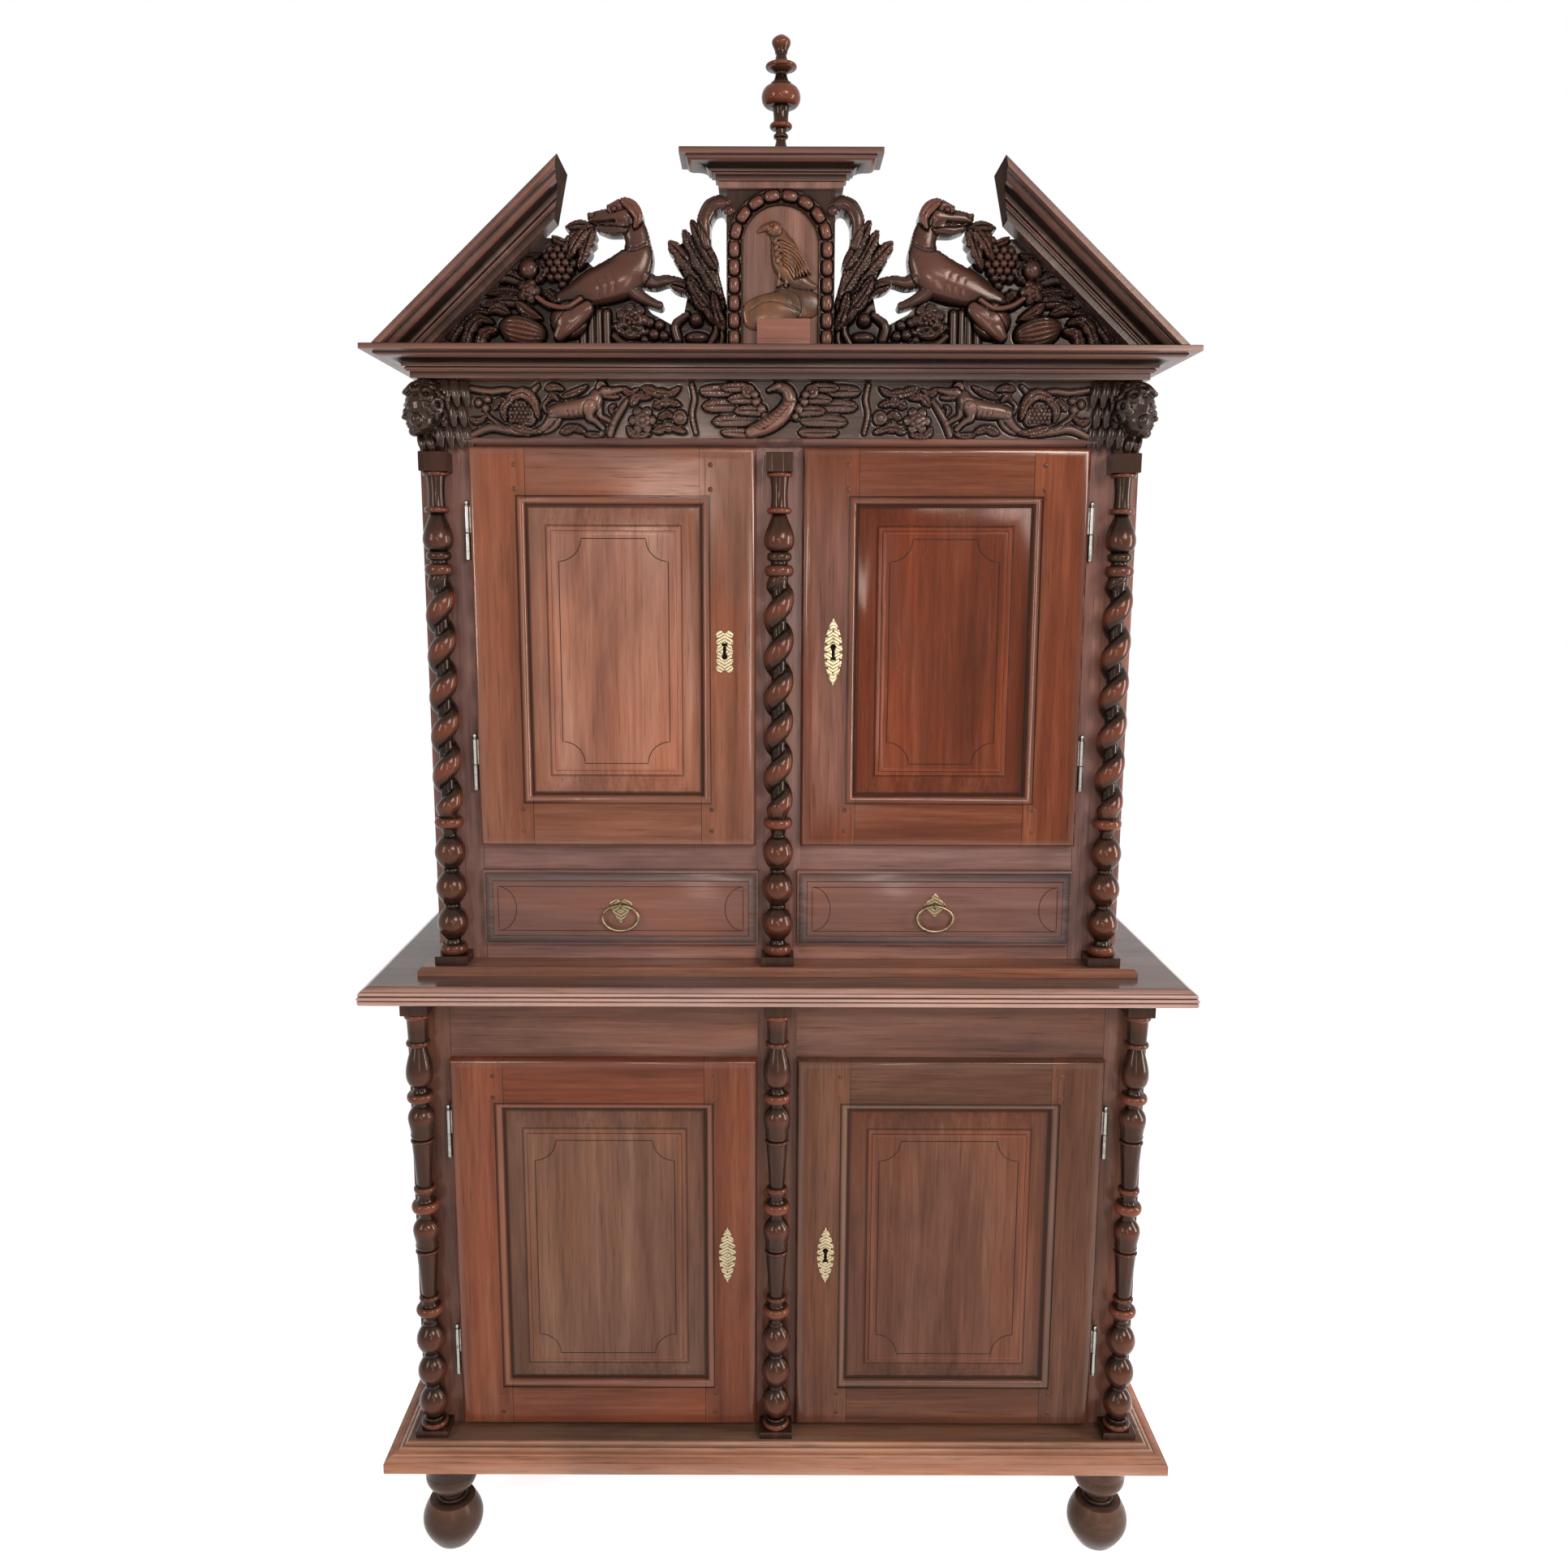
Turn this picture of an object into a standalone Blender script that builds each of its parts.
"""Two-part cabinet of carved walnut.

A wide lower cupboard on bun feet carries a set-back upper cupboard with two drawers, turned columns,
a carved frieze and a broken pediment. Metres, +Z up, front facing -Y, origin on the floor under the
middle of the waist board.
"""
import math

import bmesh
import bpy
from mathutils import Matrix, Vector

# Gaps between pieces, overlap of joined shapes and cutters, welding distance
CLEAR = 0.0003
PLAY = 0.0006
SINK = 0.002
WELD = 0.00001

# Overall stack, floor to finial
WIDTH = 1.360
DEPTH = 0.620
FOOT_HEIGHT = 0.198
BASE_THICK = 0.040
LOWER_HEIGHT = 0.800
WAIST_THICK = 0.032
PLINTH_THICK = 0.0145
UPPER_HEIGHT = 0.946
CORNICE_HEIGHT = 0.042
PEDESTAL_HEIGHT = 0.2455
CAP_HEIGHT = 0.032
FINIAL_HEIGHT = 0.192

# Carcass boards
WAIST_OVERHANG = 0.055
LOWER_WIDTH = WIDTH - 2 * WAIST_OVERHANG
UPPER_WIDTH = 1.150
LOWER_SETBACK = 0.085
UPPER_SETBACK = 0.125
BOARD = 0.028
FRAME_THICK = 0.025
BACK_THICK = 0.014
SHELF_THICK = 0.018
SHELF_SETBACK = 0.045
LOWER_SHELF_RISE = 0.330
UPPER_SHELF_RISE = 0.530
DECK_THICK = 0.022

# Feet and base
BASE_OVERHANG = 0.051
BASE_FASCIA = 0.020
BASE_MOULD_RUN = 0.036
BASE_FILLET = 0.002
POST_DEPTH = 0.060
FOOT_INSET = 0.092
BUN_HEIGHT = 0.092
BUN_RADIUS = 0.056
FOOT_NECK_RADIUS = 0.020
FOOT_NECK_HEIGHT = 0.008
FOOT_PAD_RADIUS = 0.030
FOOT_DISC_RADIUS = 0.052
FOOT_DISC_HEIGHT = 0.028

# Moulded edges
WAIST_ROUND = 0.014
PLINTH_SIDE = 0.024
PLINTH_FRONT = 0.059
PLINTH_ROUND = 0.006
CORNICE_RUN = 0.060
CORNICE_FILLET = 0.010

# Lower front
LOWER_CORNER = 0.072
LOWER_MUNTIN = 0.067
LOWER_TOP_RAIL = 0.114
LOWER_BOTTOM_RAIL = 0.009

# Upper front
UPPER_CORNER = 0.080
UPPER_MUNTIN = 0.074
UPPER_TOP_RAIL = 0.1005
MID_RAIL = 0.043
DRAWER_HEIGHT = 0.129
DRAWER_MUNTIN = 0.064
DRAWER_RAIL = 0.0275

# Doors
DOOR_THICK = 0.020
DOOR_LAP = 0.012
DOOR_EDGE = 0.008
STILE = 0.090
TOP_RAIL = 0.092
BOTTOM_RAIL = 0.088
STICKING = 0.013
STICKING_DEPTH = 0.005
GROOVE_DEPTH = 0.008
GROOVE_START = 0.008
GROOVE_THICK = 0.008
PANEL_BEVEL = 0.045
PANEL_STEP = 0.0015
PANEL_SUNK = 0.002

# Drawers
DRAWER_LAP = 0.010
DRAWER_FRONT = 0.020
DRAWER_EDGE = 0.007
DRAWER_WALL = 0.012
DRAWER_FLOOR = 0.010
DRAWER_LENGTH = 0.400
DRAWER_TOP_GAP = 0.003

# Hinges
HINGE_LENGTH = 0.085
HINGE_RADIUS = 0.0045
PIN_RADIUS = 0.0024
HINGE_OFFSET = 0.006
HINGE_TIP = 0.010
LEAF_WIDTH = 0.012
LEAF_THICK = 0.0015
TANG_THICK = 0.003
TANG_BITE = 0.005
HINGE_INSET = 0.135
HINGE_TIP_SHARES = ((0.0, 1.0), (0.7, 0.8), (1.0, 0.4))

# Locks and plates
PLATE_THICK = 0.002
PLATE_INSET = 0.051
LOWER_PLATE_DROP = 0.013
LOZENGE_HALF = (0.0145, 0.0515)
TALL_LOZENGE_HALF = (0.0145, 0.0555)
TABLET_HALF = (0.0140, 0.0345)
KEYHOLE_RADIUS = 0.004
KEYHOLE_SLOT = 0.0045
KEYHOLE_DROP = 0.017
LOCK_WIDTH = 0.060
LOCK_HEIGHT = 0.090
LOCK_THICK = 0.013
LOCK_INSET = 0.020

# Drawer pulls
PULL_RISE = 0.007
PULL_HALF_WIDTH = 0.019
PULL_HALF_HEIGHT = 0.024
EYE_RADIUS = 0.0058
EYE_LENGTH = 0.008
EYE_STEM_WIDTH = 0.006
EYE_REACH = 0.0055
RING_HALF_WIDTH = 0.030
RING_HALF_DROP = 0.0215
RING_WIRE = 0.0025
RING_PLAY = 0.0012

# Columns
COLUMN_INSET = 0.024
LOWER_COLUMN_RADIUS = 0.023
UPPER_COLUMN_RADIUS = 0.0235
UPPER_COLUMN_INSET = 0.030
LOWER_PLINTH = (0.022, 0.028)
LOWER_CAPITAL = (0.028, 0.0225)
UPPER_PLINTH = (0.0155, 0.027)
UPPER_CAPITAL = (0.030, 0.0215)
TWIST_PITCH = 0.0655
TWIST_OFFSET = 0.0070
TWIST_WIRE = 0.0165
TWIST_SINK = 0.006

# Frieze and consoles
FRIEZE_END = 0.072
FRIEZE_PROUD = 0.012
FRIEZE_BEAD = 0.012
FRIEZE_GAP = 0.0015
FRIEZE_BEAD_PROUD = 0.020
CONSOLE_HEIGHT = 0.1025
CONSOLE_DEPTH = 0.040

# Pediment
RAKE_FOOT = 0.6155
RAKE_END = 0.330
RAKE_ANGLE = math.radians(43.0)
RAKE_END_LEAN = 0.35
RAKE_THICK = 0.044
RAKE_DEPTH = 0.100
TYMPANUM_THICK = 0.046
TYMPANUM_SETBACK = 0.005
PEDESTAL_HALF = 0.095
PEDESTAL_DEPTH = 0.100
PEDESTAL_PROUD = 0.002
CAP_RUN = 0.057
CAP_FILLET = 0.008
NICHE_HALF = 0.0575
NICHE_SILL = 0.028
NICHE_SPRING = 0.158
NICHE_DEPTH = 0.012

# Faceting
SIDES_COLUMN = 10
SIDES_FOOT = 16
SIDES_PIN = 8
STEPS_BULGE = 4
STEPS_SMALL = 2
BEAD_SWELL = 0.006
STEPS_OGEE = 4
STEPS_ARCH = 8
STEPS_TWIST = 8
STEPS_RING = 18
TUBE_RESOLUTION = 2

# Levels and planes
Z_BASE = FOOT_HEIGHT
Z_LOWER = Z_BASE + BASE_THICK
Z_WAIST = Z_LOWER + LOWER_HEIGHT
Z_PLINTH = Z_WAIST + WAIST_THICK
Z_UPPER = Z_PLINTH + PLINTH_THICK
Z_CORNICE = Z_UPPER + UPPER_HEIGHT
Z_CROWN = Z_CORNICE + CORNICE_HEIGHT
Z_CAP = Z_CROWN + PEDESTAL_HEIGHT
Z_FINIAL = Z_CAP + CAP_HEIGHT
BASE_WIDTH = LOWER_WIDTH + 2 * BASE_OVERHANG
FRONT = -DEPTH / 2
BACK = DEPTH / 2
LOWER_FACE = FRONT + LOWER_SETBACK
UPPER_FACE = FRONT + UPPER_SETBACK
LOWER_INNER = LOWER_WIDTH / 2 - BOARD
UPPER_INNER = UPPER_WIDTH / 2 - BOARD
LOWER_BACK_FACE = BACK - POST_DEPTH
UPPER_BACK_FACE = BACK - BACK_THICK
LOWER_COLUMN_X = LOWER_WIDTH / 2 - COLUMN_INSET
UPPER_COLUMN_X = UPPER_WIDTH / 2 - UPPER_COLUMN_INSET
CONSOLE_BASE = Z_CORNICE - CONSOLE_HEIGHT
CORNICE_FRONT = UPPER_FACE - CONSOLE_DEPTH
DRAWER_BASE = Z_UPPER + DRAWER_RAIL
DRAWER_TOP = DRAWER_BASE + DRAWER_HEIGHT
DRAWER_FLOOR_LEVEL = DRAWER_BASE + DRAWER_LAP
DRAWER_ROOF_LEVEL = DRAWER_TOP - DRAWER_LAP
UPPER_DOOR_BASE = DRAWER_TOP + MID_RAIL
UPPER_DOOR_TOP = Z_CORNICE - UPPER_TOP_RAIL
LOWER_DOOR_BASE = Z_LOWER + LOWER_BOTTOM_RAIL
LOWER_DOOR_TOP = Z_WAIST - LOWER_TOP_RAIL
PEDESTAL_FRONT = CORNICE_FRONT - PEDESTAL_PROUD
PEDESTAL_BACK = PEDESTAL_FRONT + PEDESTAL_DEPTH
TYMPANUM_FRONT = CORNICE_FRONT + TYMPANUM_SETBACK
LEFT, RIGHT = -1, 1
SIDE_NAMES = {LEFT: "left", RIGHT: "right"}

# Turnings, bottom to top: length, bottom radius, top radius, swell; a length of None takes what is left
LOWER_TURNING = (
    (0.022, 0.0180, 0.0180, 0.0045),
    (0.007, 0.0120, 0.0120, 0.0),
    (0.056, 0.0120, 0.0120, 0.0110),
    (0.056, 0.0120, 0.0120, 0.0110),
    (0.056, 0.0120, 0.0120, 0.0110),
    (0.021, 0.0120, 0.0140, 0.0),
    (0.014, 0.0180, 0.0180, 0.0050),
    (0.019, 0.0120, 0.0120, 0.0),
    (None, 0.0115, 0.0170, 0.0),
    (0.012, 0.0150, 0.0150, 0.0040),
    (0.054, 0.0130, 0.0190, 0.0040),
    (0.014, 0.0130, 0.0130, 0.0),
    (0.018, 0.0180, 0.0180, 0.0050),
    (0.018, 0.0130, 0.0130, 0.0),
    (0.012, 0.0150, 0.0150, 0.0040),
    (None, 0.0115, 0.0170, 0.0),
    (0.012, 0.0150, 0.0150, 0.0040),
    (0.056, 0.0130, 0.0190, 0.0040),
    (0.008, 0.0130, 0.0130, 0.0),
    (0.016, 0.0180, 0.0180, 0.0050),
    (0.013, 0.0130, 0.0130, 0.0),
    (0.070, 0.0130, 0.0110, 0.0110),
    (0.010, 0.0140, 0.0140, 0.0040),
    (0.039, 0.0110, 0.0130, 0.0),
    (0.011, 0.0150, 0.0150, 0.0040),
)
UPPER_TURNING_FOOT = (
    (0.026, 0.0180, 0.0180, 0.0050),
    (0.056, 0.0125, 0.0125, 0.0110),
    (0.062, 0.0125, 0.0125, 0.0110),
    (0.064, 0.0125, 0.0150, 0.0095),
    (0.010, 0.0150, 0.0150, 0.0),
    (0.016, 0.0185, 0.0185, 0.0050),
)
UPPER_TURNING_HEAD = (
    (0.018, 0.0185, 0.0185, 0.0050),
    (0.006, 0.0140, 0.0140, 0.0),
    (0.014, 0.0165, 0.0165, 0.0050),
    (0.060, 0.0130, 0.0120, 0.0110),
    (0.010, 0.0150, 0.0150, 0.0040),
    (0.047, 0.0150, 0.0175, 0.0),
    (0.007, 0.0190, 0.0190, 0.0020),
)
FOOT_TURNING = (
    (BUN_HEIGHT, FOOT_PAD_RADIUS, FOOT_NECK_RADIUS, BUN_RADIUS - (FOOT_PAD_RADIUS + FOOT_NECK_RADIUS) / 2),
    (FOOT_NECK_HEIGHT, FOOT_NECK_RADIUS, FOOT_NECK_RADIUS, 0.0),
    (None, FOOT_NECK_RADIUS, FOOT_DISC_RADIUS, 0.003),
    (FOOT_DISC_HEIGHT, FOOT_DISC_RADIUS, FOOT_DISC_RADIUS, 0.0),
)
FINIAL_TURNING = (
    (0.010, 0.0290, 0.0290, 0.0),
    (0.035, 0.0270, 0.0090, 0.0),
    (0.013, 0.0085, 0.0085, 0.0),
    (0.009, 0.0150, 0.0150, 0.0025),
    (0.023, 0.0137, 0.0137, 0.0),
    (0.030, 0.0200, 0.0170, 0.0110),
    (None, 0.0125, 0.0100, 0.0),
    (0.006, 0.0105, 0.0180, 0.0),
    (0.006, 0.0225, 0.0225, 0.0015),
    (0.016, 0.0105, 0.0085, 0.0),
    (0.026, 0.0100, 0.0040, 0.0080),
)

# Carved console, bottom to top: share of its height, half width, depth
CONSOLE_PROFILE = (
    (0.0, 0.020, 0.018),
    (0.22, 0.033, 0.031),
    (0.50, 0.041, 0.046),
    (0.80, 0.041, 0.050),
    (1.0, 0.039, 0.040),
)

# Tympanum outline from the rake's underside round the hound to the pedestal: distance from the middle, height
TYMPANUM_CREST = (
    (0.356, 0.1675), (0.328, 0.1835), (0.297, 0.1925), (0.301, 0.2085), (0.270, 0.2085), (0.268, 0.2200),
    (0.251, 0.2265), (0.230, 0.2195), (0.218, 0.2045), (0.208, 0.1855), (0.205, 0.1725), (0.175, 0.1660),
    (0.172, 0.1775), (0.149, 0.1745), (0.143, 0.1935), (0.132, 0.1945), (0.128, 0.2105), (0.118, 0.2235),
    (0.105, 0.2300),
)
SCROLL_TOP = 0.2320
SCROLL_END = 0.2060
SCROLL_INNER = ((0.111, 0.1935), (0.116, 0.1805), (0.112, 0.1395), (0.106, 0.1145), (0.100, 0.0965))
SCROLL_FOOT = 0.0775
TYMPANUM_HOLES = (
    ((0.299, 0.1355), (0.291, 0.1635), (0.272, 0.1735), (0.256, 0.1725), (0.251, 0.1665), (0.258, 0.1565),
     (0.277, 0.1445)),
    ((0.201, 0.1570), (0.185, 0.1570), (0.177, 0.1455), (0.161, 0.1115), (0.185, 0.1155), (0.210, 0.1115),
     (0.206, 0.1335)),
    ((0.212, 0.0905), (0.192, 0.0995), (0.180, 0.0965), (0.169, 0.0845), (0.155, 0.0725), (0.171, 0.0510),
     (0.186, 0.0685), (0.198, 0.0835)),
)
TYMPANUM_GROUND_END = 0.366

# Plate outlines in shares of a plate's half width and half height
LOZENGE = ((0.0, 1.0), (0.45, 0.62), (0.38, 0.40), (1.0, 0.0), (0.38, -0.40), (0.45, -0.62),
           (0.0, -1.0), (-0.45, -0.62), (-0.38, -0.40), (-1.0, 0.0), (-0.38, 0.40), (-0.45, 0.62))
TABLET = ((-1.0, 0.85), (0.0, 1.0), (1.0, 0.85), (1.0, -0.85), (0.0, -1.0), (-1.0, -0.85))
HEART = ((0.0, 0.82), (0.45, 1.0), (1.0, 0.62), (0.72, 0.0), (0.0, -1.0), (-0.72, 0.0), (-1.0, 0.62),
         (-0.45, 1.0))
DIAMOND = ((0.0, 1.0), (0.55, 0.45), (1.0, 0.0), (0.55, -0.45), (0.0, -1.0), (-0.55, -0.45), (-1.0, 0.0),
           (-0.55, 0.45))

# Finishes: colour, roughness, metallic
WALNUT = ((0.105, 0.042, 0.022, 1.0), 0.42, 0.0)
PANEL_WALNUT = ((0.150, 0.060, 0.028, 1.0), 0.40, 0.0)
DARK_WALNUT = ((0.055, 0.028, 0.018, 1.0), 0.45, 0.0)
INNER_OAK = ((0.260, 0.160, 0.085, 1.0), 0.70, 0.0)
BRASS = ((0.480, 0.340, 0.140, 1.0), 0.35, 1.0)
STEEL = ((0.300, 0.290, 0.280, 1.0), 0.40, 1.0)

CABINET = bpy.data.collections.new("two_part_cabinet")


def clear_scene():
    """Remove what the scene starts with and link the cabinet's collection."""
    for obj in list(bpy.data.objects):
        bpy.data.objects.remove(obj, do_unlink=True)
    bpy.context.scene.collection.children.link(CABINET)


def add_object(name, data):
    """Link a mesh or curve as an object of the cabinet."""
    obj = bpy.data.objects.new(name, data)
    CABINET.objects.link(obj)
    return obj


def bake(obj):
    """Replace a curve or a modified object by its welded mesh, in world space."""
    name = obj.name
    graph = bpy.context.evaluated_depsgraph_get()
    mesh = bpy.data.meshes.new_from_object(obj.evaluated_get(graph))
    mesh.transform(obj.matrix_world)
    bpy.data.objects.remove(obj, do_unlink=True)
    shape = bmesh.new()
    shape.from_mesh(mesh)
    bmesh.ops.remove_doubles(shape, verts=shape.verts, dist=WELD)
    bmesh.ops.recalc_face_normals(shape, faces=shape.faces)
    shape.to_mesh(mesh)
    shape.free()
    return add_object(name, mesh)


def combine(target, tools, operation):
    """Union or cut a piece with tool pieces, which are used up."""
    for tool in tools:
        boolean = target.modifiers.new(operation.lower(), "BOOLEAN")
        boolean.operation = operation
        boolean.object = tool
        bpy.context.view_layer.update()
        target = bake(target)
        bpy.data.objects.remove(tool, do_unlink=True)
    return target


def box(name, xs, ys, zs):
    """A squared board between two limits on each axis."""
    low = Vector((min(xs), min(ys), min(zs)))
    high = Vector((max(xs), max(ys), max(zs)))
    shape = bmesh.new()
    place = Matrix.Translation((low + high) / 2) @ Matrix.Diagonal((*(high - low), 1.0))
    bmesh.ops.create_cube(shape, size=1.0, matrix=place)
    mesh = bpy.data.meshes.new(name)
    shape.to_mesh(mesh)
    shape.free()
    return add_object(name, mesh)


def rod(name, centre, radius, length, axis):
    """A closed cylinder along X or Z about its centre."""
    turn = Matrix.Rotation(math.pi / 2, 4, "Y") if axis == "X" else Matrix.Identity(4)
    shape = bmesh.new()
    bmesh.ops.create_cone(shape, cap_ends=True, segments=SIDES_PIN, radius1=radius, radius2=radius,
                          depth=length, matrix=Matrix.Translation(centre) @ turn)
    mesh = bpy.data.meshes.new(name)
    shape.to_mesh(mesh)
    shape.free()
    return add_object(name, mesh)


def loft(name, axis, sections):
    """A closed solid through rectangles stacked along Y or Z: level, first range, second range."""
    shape = bmesh.new()
    rings = []
    for level, (a0, a1), (b0, b1) in sections:
        corners = ((a0, b0), (a1, b0), (a1, b1), (a0, b1))
        points = [(a, b, level) if axis == "Z" else (a, level, b) for a, b in corners]
        rings.append([shape.verts.new(point) for point in points])
    shape.faces.new(rings[0])
    shape.faces.new(rings[-1])
    for lower, upper in zip(rings, rings[1:]):
        for first in range(4):
            second = (first + 1) % 4
            shape.faces.new((lower[first], lower[second], upper[second], upper[first]))
    bmesh.ops.recalc_face_normals(shape, faces=shape.faces)
    mesh = bpy.data.meshes.new(name)
    shape.to_mesh(mesh)
    shape.free()
    return add_object(name, mesh)


def sheet(name, outlines, low, high, along="Y"):
    """A board of flat outlines, the first outside and the rest holes, between two limits along Y or X."""
    curve = bpy.data.curves.new(name, "CURVE")
    curve.dimensions = "2D"
    curve.fill_mode = "BOTH"
    curve.extrude = abs(high - low) / 2
    for outline in outlines:
        spline = curve.splines.new("POLY")
        spline.points.add(len(outline) - 1)
        for point, (a, b) in zip(spline.points, outline):
            point.co = (a, b, 0.0, 1.0)
        spline.use_cyclic_u = True
    obj = add_object(name, curve)
    middle = (low + high) / 2
    if along == "Y":
        obj.matrix_world = Matrix.Translation((0.0, middle, 0.0)) @ Matrix.Rotation(math.pi / 2, 4, "X")
    else:
        obj.matrix_world = Matrix(((0, 0, 1, middle), (1, 0, 0, 0), (0, 1, 0, 0), (0, 0, 0, 1)))
    bpy.context.view_layer.update()
    return bake(obj)


def face_frame(name, half, face, limits, openings):
    """A case's front frame: a board with square openings cut through it."""
    board = box(name, (-half, half), (face, face + FRAME_THICK), limits)
    cutters = [box("doorway", xs, (face - SINK, face + FRAME_THICK + SINK), zs) for xs, zs in openings]
    return combine(board, cutters, "DIFFERENCE")


def tube(name, points, radius, cyclic=False):
    """A round wire along a path."""
    curve = bpy.data.curves.new(name, "CURVE")
    curve.dimensions = "3D"
    curve.bevel_depth = radius
    curve.bevel_resolution = TUBE_RESOLUTION
    curve.use_fill_caps = True
    spline = curve.splines.new("POLY")
    spline.points.add(len(points) - 1)
    for target, point in zip(spline.points, points):
        target.co = (*point, 1.0)
    spline.use_cyclic_u = cyclic
    obj = add_object(name, curve)
    bpy.context.view_layer.update()
    return bake(obj)


def ogee(rise, run, fillet):
    """Height and projection along a moulding: a fillet, an S-curve from no projection to full, a fillet."""
    curve_rise = rise - 2 * fillet
    points = [(0.0, 0.0), (fillet, 0.0)]
    for step in range(1, STEPS_OGEE + 1):
        share = step / STEPS_OGEE
        swing = share - math.sin(2 * math.pi * share) / (2 * math.pi)
        points.append((fillet + curve_rise * share, run * swing))
    points.append((rise, run))
    return points


def turning(elements, bottom, height):
    """Radius and height along a turned profile, top to bottom, closed on the axis."""
    used = sum(length for length, *_ in elements if length is not None)
    spare = [element for element in elements if element[0] is None]
    fill = (height - used) / len(spare) if spare else 0.0
    level = bottom
    points = [(0.0, bottom)]
    for length, low, high, swell in elements:
        length = fill if length is None else length
        steps = 1 if not swell else STEPS_SMALL if swell < BEAD_SWELL else STEPS_BULGE
        for step in range(steps + 1):
            share = step / steps
            radius = low + (high - low) * share + swell * math.sin(math.pi * share)
            point = (radius, level + length * share)
            if math.dist(point, points[-1]) > WELD:
                points.append(point)
        level += length
    points.append((0.0, level))
    return points[::-1]


def turned(name, profile, centre, sides):
    """A solid of revolution about an upright axis."""
    mesh = bpy.data.meshes.new(name)
    verts = [(radius, 0.0, level) for radius, level in profile]
    mesh.from_pydata(verts, [(i, i + 1) for i in range(len(verts) - 1)], [])
    obj = add_object(name, mesh)
    screw = obj.modifiers.new("turn", "SCREW")
    screw.steps = sides
    screw.render_steps = sides
    screw.use_merge_vertices = True
    screw.merge_threshold = WELD
    obj.location = (centre[0], centre[1], 0.0)
    bpy.context.view_layer.update()
    return bake(obj)


def finish(obj, look):
    """Give a piece its own material."""
    colour, roughness, metallic = look
    material = bpy.data.materials.new(obj.name + "_finish")
    material.use_nodes = True
    shader = material.node_tree.nodes["Principled BSDF"]
    shader.inputs["Base Color"].default_value = colour
    shader.inputs["Roughness"].default_value = roughness
    shader.inputs["Metallic"].default_value = metallic
    obj.data.materials.clear()
    obj.data.materials.append(material)
    return obj


def stand(obj):
    """Put a fixed piece's origin at the middle of its underside."""
    corners = [vertex.co for vertex in obj.data.vertices]
    low = Vector(min(corner[axis] for corner in corners) for axis in range(3))
    high = Vector(max(corner[axis] for corner in corners) for axis in range(3))
    foot = Vector(((low.x + high.x) / 2, (low.y + high.y) / 2, low.z))
    obj.data.transform(Matrix.Translation(-foot))
    obj.location = foot
    return obj


def pivot(name, place):
    """An empty on a joint's axis that carries a moving group."""
    empty = bpy.data.objects.new(name, None)
    empty.location = place
    CABINET.objects.link(empty)
    return empty


def hang(obj, carrier):
    """Put a moving piece's origin on its joint's axis, under the empty there."""
    obj.data.transform(Matrix.Translation(-Vector(carrier.location)))
    obj.parent = carrier
    return obj


def span(side, near, far):
    """An X range at a distance range from the middle, low value first."""
    return (near, far) if side == RIGHT else (-far, -near)


def build_base():
    """The moulded base board, its front feet and the lower case with its rear posts."""
    half = BASE_WIDTH / 2
    rear = LOWER_BACK_FACE - CLEAR
    rise = BASE_THICK - BASE_FASCIA
    sections = [(Z_BASE, (-half, half), (FRONT, rear))]
    for level, run in ogee(rise, BASE_MOULD_RUN, BASE_FILLET):
        sections.append((Z_BASE + BASE_FASCIA + level, (run - half, half - run), (FRONT + run, rear)))
    stand(finish(loft("base_board", "Z", sections), WALNUT))
    for side in (LEFT, RIGHT):
        centre = (side * (half - FOOT_INSET), FRONT + FOOT_INSET)
        profile = turning(FOOT_TURNING, 0.0, FOOT_HEIGHT - CLEAR)
        stand(finish(turned(f"front_{SIDE_NAMES[side]}_foot", profile, centre, SIDES_FOOT), WALNUT))


def build_lower_case():
    """Sides with rear posts to the floor, back, shelf and the front frame with two doorways."""
    start = LOWER_FACE + FRAME_THICK + CLEAR
    low, high = Z_LOWER + CLEAR, Z_WAIST - CLEAR
    outline = ((start, low), (LOWER_BACK_FACE, low), (LOWER_BACK_FACE, 0.0), (BACK, 0.0), (BACK, high),
               (start, high))
    for side in (LEFT, RIGHT):
        limits = span(side, LOWER_INNER, LOWER_WIDTH / 2)
        stand(finish(sheet(f"lower_{SIDE_NAMES[side]}_side", [outline], *limits, along="X"), WALNUT))
    inner = LOWER_INNER - CLEAR
    stand(finish(box("lower_back", (-inner, inner), (LOWER_BACK_FACE, LOWER_BACK_FACE + BACK_THICK),
                     (Z_BASE, high)), INNER_OAK))
    shelf = Z_LOWER + LOWER_SHELF_RISE
    stand(finish(box("lower_shelf", (-inner, inner), (start + SHELF_SETBACK, LOWER_BACK_FACE - CLEAR),
                     (shelf, shelf + SHELF_THICK)), INNER_OAK))
    half = LOWER_WIDTH / 2
    openings = []
    for side in (LEFT, RIGHT):
        doorway = span(side, LOWER_MUNTIN / 2 + DOOR_LAP, half - LOWER_CORNER - DOOR_LAP)
        openings.append((doorway, (LOWER_DOOR_BASE + DOOR_LAP, LOWER_DOOR_TOP - DOOR_LAP)))
    stand(finish(face_frame("lower_face_frame", half, LOWER_FACE, (low, high), openings), WALNUT))


def build_waist():
    """The waist board with its rounded edge."""
    half = WIDTH / 2
    sections = []
    low, high = Z_WAIST, Z_PLINTH
    for step in range(STEPS_BULGE + 1):
        share = step / STEPS_BULGE
        inset = WAIST_ROUND * (1 - math.sin(math.pi * share))
        sections.append((low + (high - low) * share, (inset - half, half - inset), (FRONT + inset, BACK)))
    stand(finish(loft("waist_board", "Z", sections), WALNUT))


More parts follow.
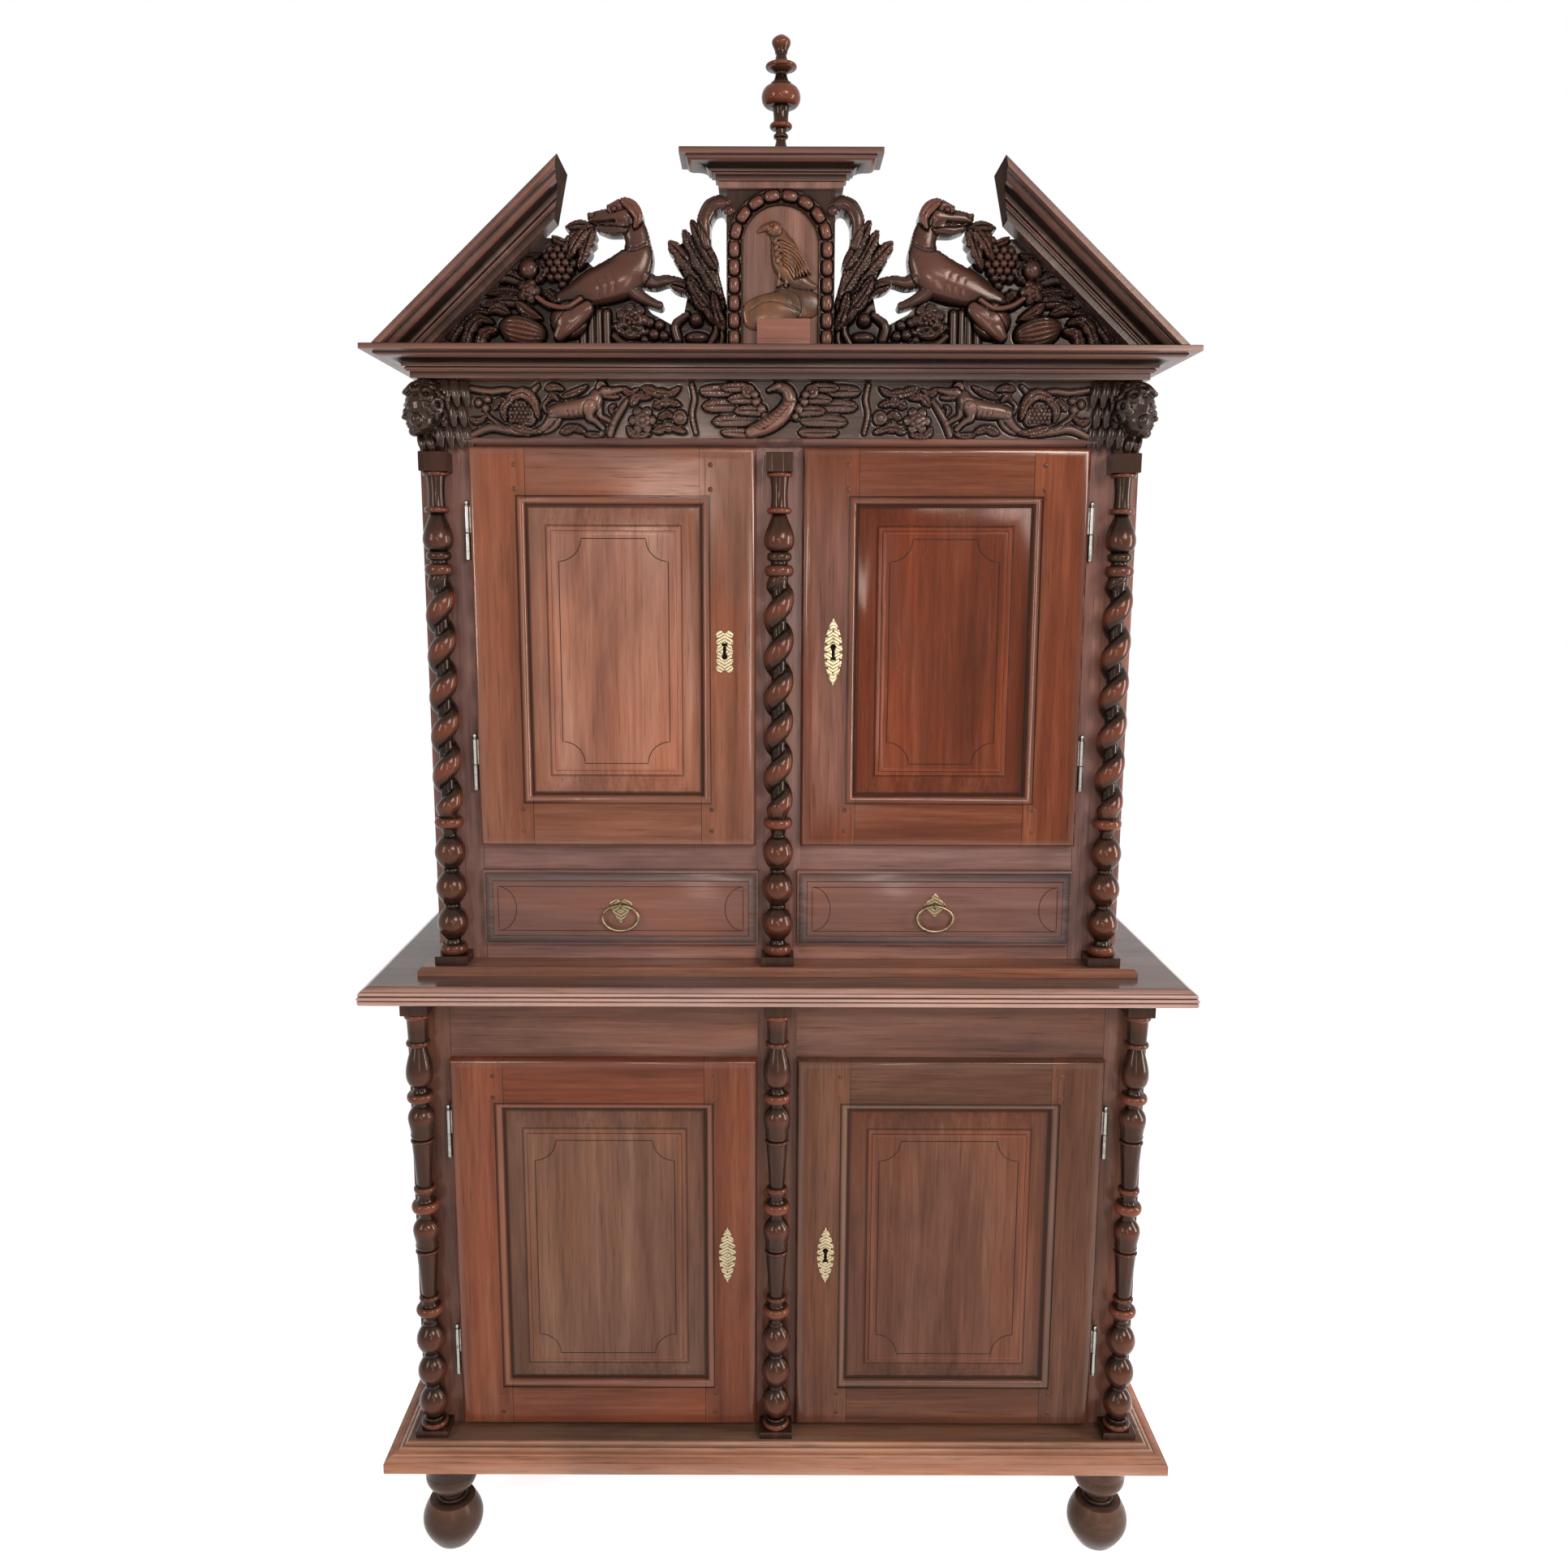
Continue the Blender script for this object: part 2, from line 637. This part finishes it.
def build_upper_case():
    """Plinth with the drawer floor, sides, back, drawer deck, shelf and the front frame."""
    half = UPPER_WIDTH / 2
    inner = UPPER_INNER - CLEAR
    start = UPPER_FACE + FRAME_THICK + CLEAR
    rear = UPPER_BACK_FACE - CLEAR
    wide = half + PLINTH_SIDE
    lip = UPPER_FACE - PLINTH_FRONT
    stand(finish(loft("upper_plinth", "Z", (
        (Z_PLINTH + CLEAR, (-wide, wide), (lip, BACK)),
        (Z_UPPER - PLINTH_ROUND, (-wide, wide), (lip, BACK)),
        (Z_UPPER, (PLINTH_ROUND - wide, wide - PLINTH_ROUND), (lip + PLINTH_ROUND, BACK)),
        (Z_UPPER, (-inner, inner), (start, rear)),
        (DRAWER_FLOOR_LEVEL, (-inner, inner), (start, rear)),
    )), WALNUT))
    low, high = Z_UPPER + CLEAR, Z_CORNICE - CLEAR
    for side in (LEFT, RIGHT):
        stand(finish(box(f"upper_{SIDE_NAMES[side]}_side", span(side, UPPER_INNER, half), (start, BACK),
                         (low, high)), WALNUT))
    stand(finish(box("upper_back", (-inner, inner), (UPPER_BACK_FACE, BACK), (low, high)), INNER_OAK))
    shelf = Z_UPPER + UPPER_SHELF_RISE
    stand(finish(box("upper_shelf", (-inner, inner), (start + SHELF_SETBACK, rear),
                     (shelf, shelf + SHELF_THICK)), INNER_OAK))
    near = DRAWER_MUNTIN / 2 + DRAWER_LAP
    far = half - UPPER_CORNER - DRAWER_LAP
    roof = DRAWER_ROOF_LEVEL
    foot = DRAWER_FLOOR_LEVEL + CLEAR
    deck = roof + DECK_THICK
    outline = ((-inner, foot), (-far, foot), (-far, roof), (-near, roof), (-near, foot), (near, foot),
               (near, roof), (far, roof), (far, foot), (inner, foot), (inner, deck), (-inner, deck))
    stand(finish(sheet("drawer_deck", [outline], start, rear), INNER_OAK))
    openings = []
    for side in (LEFT, RIGHT):
        doorway = span(side, UPPER_MUNTIN / 2 + DOOR_LAP, half - UPPER_CORNER - DOOR_LAP)
        openings.append((doorway, (UPPER_DOOR_BASE + DOOR_LAP, UPPER_DOOR_TOP - DOOR_LAP)))
        openings.append((span(side, near, far), (DRAWER_FLOOR_LEVEL, roof)))
    frame = face_frame("upper_face_frame", half, UPPER_FACE, (low, high), openings)
    end = half - FRIEZE_END
    ground = UPPER_DOOR_TOP + FRIEZE_GAP + FRIEZE_BEAD
    bead = UPPER_FACE - FRIEZE_BEAD_PROUD
    field = UPPER_FACE - FRIEZE_PROUD
    root = UPPER_FACE + SINK
    frieze = loft("frieze_board", "Z", (
        (ground - FRIEZE_BEAD, (-end, end), (UPPER_FACE - FRIEZE_PROUD / 2, root)),
        (ground - FRIEZE_BEAD / 2, (-end, end), (bead, root)),
        (ground, (-end, end), (field, root)),
        (high - SINK, (-end, end), (field, root)),
    ))
    stand(finish(combine(frame, [frieze], "UNION"), WALNUT))


def end_block(name, centre, half_width, half_depth, limits):
    """A squared plinth or capital block about a column's axis."""
    x, y = centre
    return box(name, (x - half_width, x + half_width), (y - half_depth, y + half_depth), limits)


def build_lower_columns():
    """Three turned columns between the base board and the waist board."""
    block, block_half = LOWER_PLINTH
    cap, cap_half = LOWER_CAPITAL
    low, high = Z_LOWER + CLEAR, Z_WAIST - CLEAR
    depth = LOWER_COLUMN_RADIUS
    y = LOWER_FACE - CLEAR - depth
    for name, x in (("left", -LOWER_COLUMN_X), ("center", 0.0), ("right", LOWER_COLUMN_X)):
        profile = turning(LOWER_TURNING, low + block - SINK, high - low - block - cap + 2 * SINK)
        shaft = turned(f"lower_{name}_column", profile, (x, y), SIDES_COLUMN)
        ends = [end_block("plinth", (x, y), block_half, depth, (low, low + block)),
                end_block("capital", (x, y), cap_half, depth, (high - cap, high))]
        stand(finish(combine(shaft, ends, "UNION"), WALNUT))


def twist_path(centre, low, high):
    """Points of the helix that a twisted shaft follows between two levels."""
    turns = (high - low) / TWIST_PITCH
    count = int(math.ceil(turns * STEPS_TWIST))
    points = []
    for step in range(count + 1):
        share = step / count
        angle = 2 * math.pi * turns * share
        points.append((centre[0] + TWIST_OFFSET * math.cos(angle), centre[1] + TWIST_OFFSET * math.sin(angle),
                       low + (high - low) * share))
    return points


def build_upper_columns():
    """Three columns with ball feet, a twisted shaft and a vase, under the consoles."""
    block, block_half = UPPER_PLINTH
    cap, cap_half = UPPER_CAPITAL
    low, high = Z_UPPER + CLEAR, CONSOLE_BASE - CLEAR
    depth = UPPER_COLUMN_RADIUS
    y = UPPER_FACE - CLEAR - depth
    foot_height = sum(element[0] for element in UPPER_TURNING_FOOT)
    head_height = sum(element[0] for element in UPPER_TURNING_HEAD)
    for name, x in (("left", -UPPER_COLUMN_X), ("center", 0.0), ("right", UPPER_COLUMN_X)):
        foot_low = low + block - SINK
        head_low = high - cap + SINK - head_height
        shaft = turned(f"upper_{name}_column", turning(UPPER_TURNING_FOOT, foot_low, foot_height), (x, y),
                       SIDES_COLUMN)
        twist = twist_path((x, y), foot_low + foot_height - TWIST_SINK, head_low + TWIST_SINK)
        rest = [tube("twist", twist, TWIST_WIRE),
                turned("head", turning(UPPER_TURNING_HEAD, head_low, head_height), (x, y), SIDES_COLUMN),
                end_block("plinth", (x, y), block_half, depth, (low, low + block)),
                end_block("capital", (x, y), cap_half, depth, (high - cap, high))]
        stand(finish(combine(shaft, rest, "UNION"), WALNUT))


def build_entablature():
    """The two carved consoles and the cornice board."""
    for side in (LEFT, RIGHT):
        x = side * UPPER_COLUMN_X
        base, height = CONSOLE_BASE, CONSOLE_HEIGHT - CLEAR
        rear = UPPER_FACE - CLEAR
        sections = [(base + height * share, (x - half, x + half), (rear - depth, rear))
                    for share, half, depth in CONSOLE_PROFILE]
        stand(finish(loft(f"{SIDE_NAMES[side]}_console", "Z", sections), DARK_WALNUT))
    half = UPPER_WIDTH / 2
    sections = [(Z_CORNICE + level, (-half - run, half + run), (CORNICE_FRONT - run, BACK))
                for level, run in ogee(CORNICE_HEIGHT, CORNICE_RUN, CORNICE_FILLET)]
    stand(finish(loft("cornice", "Z", sections), WALNUT))


def rake_line(offset, distance):
    """Height above the crown, at a distance from the middle, of the rake's line at a depth below its top."""
    return (RAKE_FOOT - offset / math.sin(RAKE_ANGLE) - distance) * math.tan(RAKE_ANGLE)


def build_rakes():
    """The two raking cornices: the cornice moulding carried up a slope, cut off leaning at its upper end."""
    rear = CORNICE_FRONT + RAKE_DEPTH - CORNICE_RUN
    moulding = ogee(RAKE_THICK, CORNICE_RUN, CORNICE_FILLET)
    section = [(CORNICE_FRONT - run, RAKE_THICK - level) for level, run in moulding]
    section += [(rear, 0.0), (rear, RAKE_THICK)]
    crown = Z_CROWN + CLEAR
    for side in (LEFT, RIGHT):
        shape = bmesh.new()
        rings = []
        for upper in (False, True):
            ring = []
            for y, offset in section:
                foot = RAKE_FOOT - offset / math.sin(RAKE_ANGLE)
                end = RAKE_END + RAKE_END_LEAN * offset
                distance = end if upper else foot - CLEAR / math.tan(RAKE_ANGLE)
                level = Z_CROWN + rake_line(offset, end) if upper else crown
                ring.append(shape.verts.new((side * distance, y, level)))
            rings.append(ring)
        shape.faces.new(rings[0])
        shape.faces.new(rings[1])
        for first in range(len(section)):
            second = (first + 1) % len(section)
            shape.faces.new((rings[0][first], rings[0][second], rings[1][second], rings[1][first]))
        bmesh.ops.recalc_face_normals(shape, faces=shape.faces)
        name = f"{SIDE_NAMES[side]}_raking_cornice"
        mesh = bpy.data.meshes.new(name)
        shape.to_mesh(mesh)
        shape.free()
        stand(finish(add_object(name, mesh), WALNUT))


def build_tympana():
    """The two pierced carvings: a hound among fruit between the rake and the pedestal."""
    below = RAKE_THICK + CLEAR / math.cos(RAKE_ANGLE)
    foot = RAKE_FOOT - below / math.sin(RAKE_ANGLE)
    edge = PEDESTAL_HALF + CLEAR
    outline = [(foot, CLEAR), (TYMPANUM_GROUND_END, rake_line(below, TYMPANUM_GROUND_END))]
    outline += TYMPANUM_CREST
    outline += [(edge, SCROLL_TOP), (edge, SCROLL_END)]
    outline += SCROLL_INNER
    outline += [(edge, SCROLL_FOOT), (edge, CLEAR)]
    rear = TYMPANUM_FRONT + TYMPANUM_THICK
    for side in (LEFT, RIGHT):
        outlines = [[(side * distance, Z_CROWN + level) for distance, level in loop]
                    for loop in (outline, *TYMPANUM_HOLES)]
        carving = sheet(f"{SIDE_NAMES[side]}_tympanum", outlines, TYMPANUM_FRONT, rear)
        stand(finish(carving, DARK_WALNUT))


def build_pedestal():
    """The middle pedestal with an arched niche and a flaring cap, and the turned finial on it."""
    sections = [(Z_CROWN + CLEAR, (-PEDESTAL_HALF, PEDESTAL_HALF), (PEDESTAL_FRONT, PEDESTAL_BACK))]
    for level, run in ogee(CAP_HEIGHT, CAP_RUN, CAP_FILLET):
        half = PEDESTAL_HALF + run
        sections.append((Z_CAP + level, (-half, half), (PEDESTAL_FRONT - run, PEDESTAL_BACK + run)))
    pedestal = loft("pedestal", "Z", sections)
    spring = Z_CROWN + NICHE_SPRING
    arch = [(-NICHE_HALF, Z_CROWN + NICHE_SILL), (NICHE_HALF, Z_CROWN + NICHE_SILL)]
    for step in range(STEPS_ARCH + 1):
        angle = math.pi * step / STEPS_ARCH
        arch.append((NICHE_HALF * math.cos(angle), spring + NICHE_HALF * math.sin(angle)))
    niche = sheet("niche", [arch], PEDESTAL_FRONT - SINK, PEDESTAL_FRONT + NICHE_DEPTH)
    stand(finish(combine(pedestal, [niche], "DIFFERENCE"), WALNUT))
    centre = (0.0, (PEDESTAL_FRONT + PEDESTAL_BACK) / 2)
    profile = turning(FINIAL_TURNING, Z_FINIAL + CLEAR, FINIAL_HEIGHT - CLEAR)
    stand(finish(turned("finial", profile, centre, SIDES_COLUMN), WALNUT))


def keyhole(x, z):
    """A keyhole outline: a round eye over a narrow slot."""
    slot = KEYHOLE_SLOT / 2
    points = [(x + slot, z - KEYHOLE_DROP)]
    start = -math.pi / 2 + math.asin(slot / KEYHOLE_RADIUS)
    for step in range(STEPS_ARCH + 1):
        angle = start + (math.pi - 2 * start) * step / STEPS_ARCH
        points.append((x + KEYHOLE_RADIUS * math.cos(angle), z + KEYHOLE_RADIUS * math.sin(angle)))
    points.append((x - slot, z - KEYHOLE_DROP))
    return points


def hinge_levels(base, top):
    """Lower ends of a door's two hinges."""
    return (base + HINGE_INSET - HINGE_LENGTH / 2, top - HINGE_INSET - HINGE_LENGTH / 2)


def build_hinge(name, side, axis, face, level):
    """The frame's half of a hinge: lower barrel, pin with a tip, and a leaf on the face frame."""
    x, y = axis
    middle = level + HINGE_LENGTH / 2
    top = level + HINGE_LENGTH
    profile = [(HINGE_RADIUS * across, top + HINGE_TIP * up) for across, up in HINGE_TIP_SHARES]
    profile += [(HINGE_RADIUS, top + CLEAR), (PIN_RADIUS, top + CLEAR), (PIN_RADIUS, middle),
                (HINGE_RADIUS, middle), (HINGE_RADIUS, level), (0.0, level)]
    barrel = turned(name, profile, axis, SIDES_PIN)
    seat = face - CLEAR
    limits = (level + CLEAR, middle - CLEAR)
    neck = box("neck", (x - TANG_THICK / 2, x + TANG_THICK / 2), (y, seat), limits)
    leaf = box("leaf", (x - side * TANG_THICK / 2, x + side * LEAF_WIDTH), (seat - LEAF_THICK, seat),
               (limits[0] - CLEAR / 2, limits[1] + CLEAR / 2))
    stand(finish(combine(barrel, [neck, leaf], "UNION"), STEEL))


def build_door(floor, side, face, near, far, base, top, plate, plate_half, plate_level, keyed):
    """A framed door with its raised panel, plate, lock case and hinges, hung on its outer edge."""
    label = f"{floor}_{SIDE_NAMES[side]}"
    front = face - CLEAR - DOOR_THICK
    rear = face - CLEAR
    axis = (side * (far + HINGE_OFFSET), front + DOOR_THICK / 2)
    carrier = pivot(f"{label}_door_pivot", (axis[0], axis[1], base))

    def sized(inset):
        return span(side, near + inset, far - inset), (base + inset, top - inset)

    def sight(grow):
        return (span(side, near + STILE - grow, far - STILE + grow),
                (base + BOTTOM_RAIL - grow, top - TOP_RAIL + grow))

    frame = loft(f"{label}_door_frame", "Y", (
        (front, *sized(DOOR_EDGE)), (front + DOOR_EDGE, *sized(0.0)), (rear, *sized(0.0))))
    groove = front + GROOVE_START
    groove_end = groove + GROOVE_THICK
    opening = loft("opening", "Y", (
        (front - SINK, *sight(STICKING)), (front, *sight(STICKING)), (front + STICKING_DEPTH, *sight(0.0)),
        (groove, *sight(0.0)), (groove, *sight(GROOVE_DEPTH)), (groove_end, *sight(GROOVE_DEPTH)),
        (groove_end, *sight(0.0)), (rear + SINK, *sight(0.0))))
    cutters = [opening]
    knuckles = []
    plate_x = side * (near + PLATE_INSET)
    if keyed:
        cutters.append(sheet("keyway", [keyhole(plate_x, plate_level)], front - SINK, rear + SINK))
    for level in hinge_levels(base, top):
        low, high = level + HINGE_LENGTH / 2 + CLEAR, level + HINGE_LENGTH
        centre = (axis[0], axis[1], (low + high) / 2)
        knuckles.append(rod("knuckle", centre, HINGE_RADIUS, high - low, "Z"))
        knuckles.append(box("tang", (side * (far - TANG_BITE), axis[0]),
                            (axis[1] - TANG_THICK / 2, axis[1] + TANG_THICK / 2), (low + CLEAR, high - CLEAR)))
        cutters.append(rod("pin_hole", centre, PIN_RADIUS + PLAY, high - low + 2 * SINK, "Z"))
    frame = combine(combine(frame, knuckles, "UNION"), cutters, "DIFFERENCE")
    hang(finish(frame, WALNUT), carrier)

    tongue = GROOVE_DEPTH - CLEAR
    skin = groove + CLEAR
    field = front + PANEL_SUNK
    panel = loft(f"{label}_door_panel", "Y", (
        (groove_end - CLEAR, *sight(tongue)), (skin, *sight(tongue)), (skin, *sight(-CLEAR)),
        (field + PANEL_STEP, *sight(-PANEL_BEVEL)), (field, *sight(-PANEL_BEVEL)),
        (field, *sight(-PANEL_BEVEL - PANEL_STEP))))
    hang(finish(panel, PANEL_WALNUT), carrier)

    half_width, half_height = plate_half
    outlines = [[(plate_x + half_width * a, plate_level + half_height * b) for a, b in plate]]
    if keyed:
        outlines.append(keyhole(plate_x, plate_level))
    seat = front - CLEAR
    hang(finish(sheet(f"{label}_escutcheon", outlines, seat - PLATE_THICK, seat), BRASS), carrier)
    if keyed:
        lock = box(f"{label}_lock", span(side, near + LOCK_INSET, near + LOCK_INSET + LOCK_WIDTH),
                   (face, face + LOCK_THICK), (plate_level - LOCK_HEIGHT / 2, plate_level + LOCK_HEIGHT / 2))
        hang(finish(lock, STEEL), carrier)
    for place, level in zip(("bottom", "top"), hinge_levels(base, top)):
        build_hinge(f"{label}_{place}_hinge", side, axis, face, level)


def build_drawer(side, plate):
    """A lipped drawer with its pull plate and drop ring."""
    label = f"{SIDE_NAMES[side]}_drawer"
    near, far = DRAWER_MUNTIN / 2, UPPER_WIDTH / 2 - UPPER_CORNER
    front = UPPER_FACE - CLEAR - DRAWER_FRONT
    rear = UPPER_FACE - CLEAR
    middle = side * (near + far) / 2
    centre_level = (DRAWER_BASE + DRAWER_TOP) / 2 + PULL_RISE
    carrier = pivot(f"{label}_slide", (middle, front, DRAWER_BASE))

    def sized(inset):
        return span(side, near + inset, far - inset), (DRAWER_BASE + inset, DRAWER_TOP - inset)

    body_x = span(side, near + DRAWER_LAP + PLAY, far - DRAWER_LAP - PLAY)
    body_z = (DRAWER_FLOOR_LEVEL + CLEAR, DRAWER_ROOF_LEVEL - DRAWER_TOP_GAP)
    end = rear + DRAWER_LENGTH
    drawer = loft(label, "Y", (
        (front, *sized(DRAWER_EDGE)), (front + DRAWER_EDGE, *sized(0.0)), (rear, *sized(0.0)),
        (rear, body_x, body_z), (end, body_x, body_z)))
    hollow = box("hollow", (body_x[0] + DRAWER_WALL, body_x[1] - DRAWER_WALL),
                 (rear + CLEAR, end - DRAWER_WALL), (body_z[0] + DRAWER_FLOOR, body_z[1] + SINK))
    hang(finish(combine(drawer, [hollow], "DIFFERENCE"), WALNUT), carrier)

    seat = front - CLEAR
    outline = [(middle + PULL_HALF_WIDTH * a, centre_level + PULL_HALF_HEIGHT * b) for a, b in plate]
    pull = sheet(f"{label}_pull_plate", [outline], seat - PLATE_THICK, seat)
    eye_centre = (middle, seat - PLATE_THICK - EYE_REACH, centre_level)
    eye = rod("eye", eye_centre, EYE_RADIUS, EYE_LENGTH, "X")
    stem = box("stem", (middle - EYE_STEM_WIDTH / 2, middle + EYE_STEM_WIDTH / 2),
               (eye_centre[1], seat - PLATE_THICK / 2),
               (centre_level - EYE_RADIUS / 2, centre_level + EYE_RADIUS / 2))
    bore = rod("bore", eye_centre, RING_WIRE + RING_PLAY, EYE_LENGTH + 2 * SINK, "X")
    pull = combine(combine(pull, [eye, stem], "UNION"), [bore], "DIFFERENCE")
    hang(finish(pull, BRASS), carrier)

    ring_pivot = pivot(f"{label}_ring_pivot", eye_centre)
    points = []
    for step in range(STEPS_RING):
        angle = 2 * math.pi * step / STEPS_RING
        points.append((middle + RING_HALF_WIDTH * math.sin(angle), eye_centre[1],
                       centre_level - RING_HALF_DROP * (1 - math.cos(angle))))
    hang(finish(tube(f"{label}_ring", points, RING_WIRE, cyclic=True), BRASS), ring_pivot)


def build_doors():
    """Two lower doors and two upper doors, each with the plate it carries."""
    lower = (LOWER_FACE, LOWER_MUNTIN / 2, LOWER_WIDTH / 2 - LOWER_CORNER, LOWER_DOOR_BASE, LOWER_DOOR_TOP)
    upper = (UPPER_FACE, UPPER_MUNTIN / 2, UPPER_WIDTH / 2 - UPPER_CORNER, UPPER_DOOR_BASE, UPPER_DOOR_TOP)
    lower_level = (LOWER_DOOR_BASE + LOWER_DOOR_TOP) / 2 - LOWER_PLATE_DROP
    upper_level = (UPPER_DOOR_BASE + UPPER_DOOR_TOP) / 2
    build_door("lower", LEFT, *lower, LOZENGE, LOZENGE_HALF, lower_level, False)
    build_door("lower", RIGHT, *lower, LOZENGE, LOZENGE_HALF, lower_level, True)
    build_door("upper", LEFT, *upper, TABLET, TABLET_HALF, upper_level, True)
    build_door("upper", RIGHT, *upper, LOZENGE, TALL_LOZENGE_HALF, upper_level, True)


def main():
    """Build the cabinet from the floor up."""
    clear_scene()
    build_base()
    build_lower_case()
    build_lower_columns()
    build_waist()
    build_upper_case()
    build_upper_columns()
    build_entablature()
    build_rakes()
    build_tympana()
    build_pedestal()
    build_doors()
    build_drawer(LEFT, HEART)
    build_drawer(RIGHT, DIAMOND)


main()
